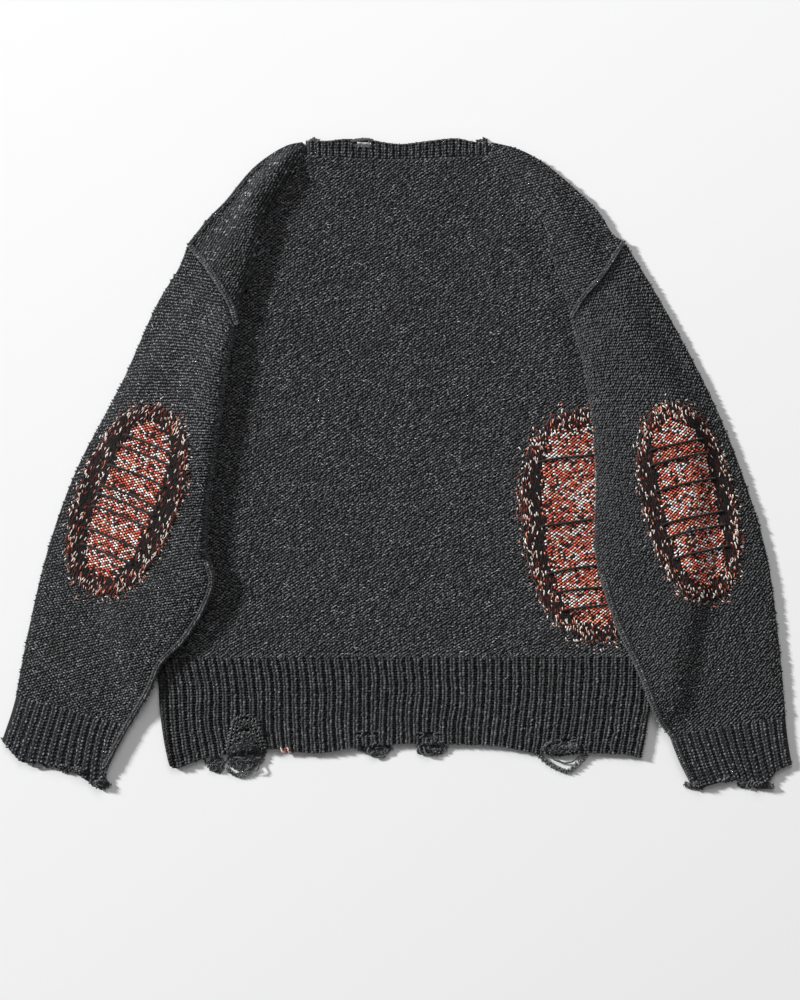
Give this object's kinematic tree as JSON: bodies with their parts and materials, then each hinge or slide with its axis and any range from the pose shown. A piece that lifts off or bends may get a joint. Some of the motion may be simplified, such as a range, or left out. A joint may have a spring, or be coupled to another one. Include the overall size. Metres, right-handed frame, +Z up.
{
  "type": "darned wool sweater",
  "caption": "Wide drop-shoulder crew-neck sweater in charcoal wool, laid flat back up with its sleeves down, ribbed and frayed at neck, hem and cuffs, with rust darned patches.",
  "frame": {"origin": "on the ground plane under the middle of the laid-out garment's bounding box", "axes": "+X across the garment from its left sleeve in the laid view to its right sleeve, +Y from the hem to the neck, +Z up from the front panel to the back panel"},
  "size_m": [0.8622, 0.7068, 0.0193],
  "materials": {
    "knit": "plain-knitted charcoal melange wool with light grey flecks, matt and slightly fuzzy",
    "rib": "charcoal melange wool knitted in a coarse rib, frayed at its free edges",
    "darn": "thick wool darning in rust and cream with thin black rows, inside a black border flecked white and red"
  },
  "bodies": {
    "root": {"front_panel": "knit", "back_panel": "knit", "front_hem_rib": "rib", "back_hem_rib": "rib", "neckband": "rib", "left_sleeve": "knit", "left_cuff": "rib", "patch_left_sleeve": "darn", "right_sleeve": "knit", "right_cuff": "rib", "patch_right_sleeve": "darn", "patch_back": "darn"}
  },
  "joints": []
}
